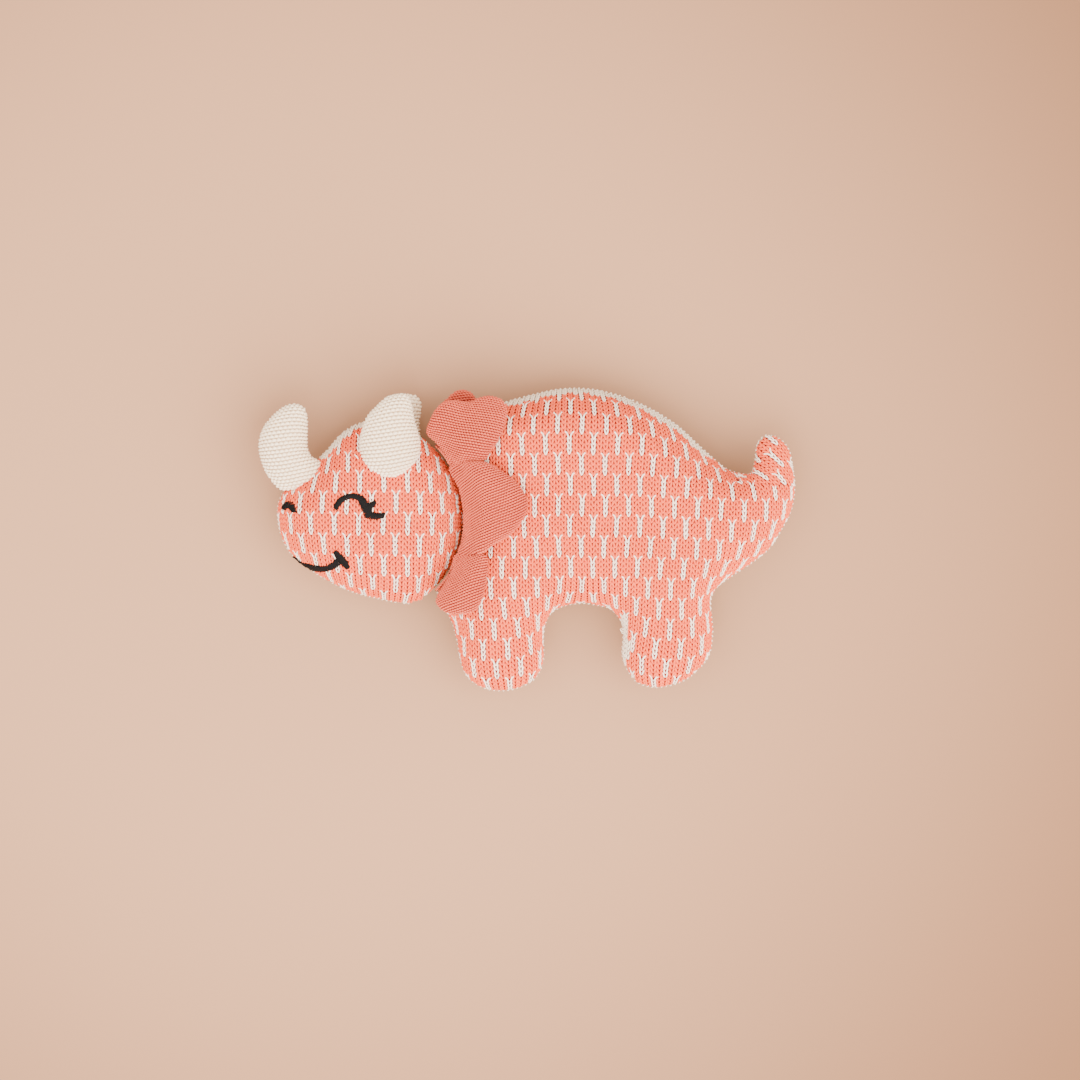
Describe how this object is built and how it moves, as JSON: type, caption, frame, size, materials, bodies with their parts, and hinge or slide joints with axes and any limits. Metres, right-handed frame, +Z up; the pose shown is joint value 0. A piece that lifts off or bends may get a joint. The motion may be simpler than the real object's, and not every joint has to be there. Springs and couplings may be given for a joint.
{
  "type": "stuffed dinosaur",
  "caption": "Flat knitted horned dinosaur soft toy with patterned front, plain back, curled tail, neck frill, stuffed horns and an embroidered smile.",
  "frame": {"origin": "under the middle of the outline, on the surface that the back panel rests on", "axes": "+Z up through the toy's thickness from back panel to patterned front, +X from nose to tail, +Y towards the top of its back"},
  "size_m": [0.3003, 0.17, 0.0645],
  "materials": {
    "jacquard_knit": "coral jersey knit with staggered white ticks, matte cotton yarn",
    "cream_knit": "plain cream jersey knit, matte cotton yarn",
    "frill_knit": "fine coral purl knit, matte",
    "horn_knit": "cream purl knit, matte",
    "dark_thread": "near-black satin-stitch thread with a slight sheen",
    "cream_thread": "cream sewing thread",
    "fibre_filling": "white polyester fibre"
  },
  "bodies": {
    "torso": {"torso_front_panel": "jacquard_knit", "torso_back_panel": "cream_knit", "torso_filling": "fibre_filling", "frill_band": "frill_knit"},
    "head": {"head_front_panel": "jacquard_knit", "head_back_panel": "cream_knit", "head_filling": "fibre_filling", "near_eye": "dark_thread", "near_eye_lashes": "dark_thread", "far_eye": "dark_thread", "mouth": "dark_thread"},
    "front_leg": {"front_leg_front_panel": "jacquard_knit", "front_leg_back_panel": "cream_knit", "front_leg_filling": "fibre_filling"},
    "hind_leg": {"hind_leg_front_panel": "jacquard_knit", "hind_leg_back_panel": "cream_knit", "hind_leg_filling": "fibre_filling", "closing_knot": "cream_thread"},
    "tail": {"tail_front_panel": "jacquard_knit", "tail_back_panel": "cream_knit", "tail_filling": "fibre_filling"},
    "nose_horn": {"nose_horn_front_cover": "horn_knit", "nose_horn_back_cover": "horn_knit", "nose_horn_filling": "fibre_filling"},
    "near_brow_horn": {"near_brow_horn_front_cover": "horn_knit", "near_brow_horn_back_cover": "horn_knit", "near_brow_horn_filling": "fibre_filling"},
    "far_brow_horn": {"far_brow_horn_front_cover": "horn_knit", "far_brow_horn_back_cover": "horn_knit", "far_brow_horn_filling": "fibre_filling"},
    "frill_top": {"frill_top_front": "frill_knit", "frill_top_back": "frill_knit", "frill_top_wadding": "fibre_filling"},
    "frill_upper": {"frill_upper_front": "frill_knit", "frill_upper_back": "frill_knit", "frill_upper_wadding": "fibre_filling"},
    "frill_middle": {"frill_middle_front": "frill_knit", "frill_middle_back": "frill_knit", "frill_middle_wadding": "fibre_filling"},
    "frill_lower": {"frill_lower_front": "frill_knit", "frill_lower_back": "frill_knit", "frill_lower_wadding": "fibre_filling"}
  },
  "joints": [
    {"name": "head_tilt", "type": "hinge", "parent": "torso", "child": "head", "pos_m": [-0.0922, 0.0117, 0.028], "axis": [0, 0, 1], "range_deg": [-5, 10], "stiffness_Nm_per_rad": 0.3},
    {"name": "front_leg_swing", "type": "hinge", "parent": "torso", "child": "front_leg", "pos_m": [-0.0154, -0.044, 0.029], "axis": [0, 0, 1], "range_deg": [-15, 15], "stiffness_Nm_per_rad": 0.15},
    {"name": "hind_leg_swing", "type": "hinge", "parent": "torso", "child": "hind_leg", "pos_m": [0.0786, -0.043, 0.029], "axis": [0, 0, 1], "range_deg": [-15, 15], "stiffness_Nm_per_rad": 0.15},
    {"name": "tail_swing", "type": "hinge", "parent": "torso", "child": "tail", "pos_m": [0.095, 0.0125, 0.029], "axis": [0, 0, 1], "range_deg": [-15, 15], "stiffness_Nm_per_rad": 0.15},
    {"name": "nose_horn_bend", "type": "hinge", "parent": "head", "child": "nose_horn", "pos_m": [-0.1322, 0.04, 0.031], "axis": [0, 0, 1], "range_deg": [-10, 10], "stiffness_Nm_per_rad": 0.03},
    {"name": "near_brow_horn_bend", "type": "hinge", "parent": "head", "child": "near_brow_horn", "pos_m": [-0.0762, 0.0503, 0.0474], "axis": [0, 0, 1], "range_deg": [-8, 8], "stiffness_Nm_per_rad": 0.03},
    {"name": "far_brow_horn_bend", "type": "hinge", "parent": "head", "child": "far_brow_horn", "pos_m": [-0.071, 0.05, 0.0126], "axis": [0, 0, 1], "range_deg": [-8, 8], "stiffness_Nm_per_rad": 0.03},
    {"name": "frill_top_lift", "type": "hinge", "parent": "torso", "child": "frill_top", "pos_m": [-0.05563, 0.05851, 0.028], "axis": [0.788, -0.6157, 0], "range_deg": [-15, 25], "stiffness_Nm_per_rad": 0.004},
    {"name": "frill_upper_lift", "type": "hinge", "parent": "torso", "child": "frill_upper", "pos_m": [-0.0437, 0.04441, 0.0645], "axis": [0.5592, -0.829, 0], "range_deg": [0, 60], "stiffness_Nm_per_rad": 0.004},
    {"name": "frill_middle_lift", "type": "hinge", "parent": "torso", "child": "frill_middle", "pos_m": [-0.03378, 0.01476, 0.0645], "axis": [0.0523, -0.9986, 0], "range_deg": [0, 60], "stiffness_Nm_per_rad": 0.004},
    {"name": "frill_lower_lift", "type": "hinge", "parent": "torso", "child": "frill_lower", "pos_m": [-0.04314, -0.02016, 0.0645], "axis": [-0.5446, -0.8387, 0], "range_deg": [0, 60], "stiffness_Nm_per_rad": 0.004}
  ]
}
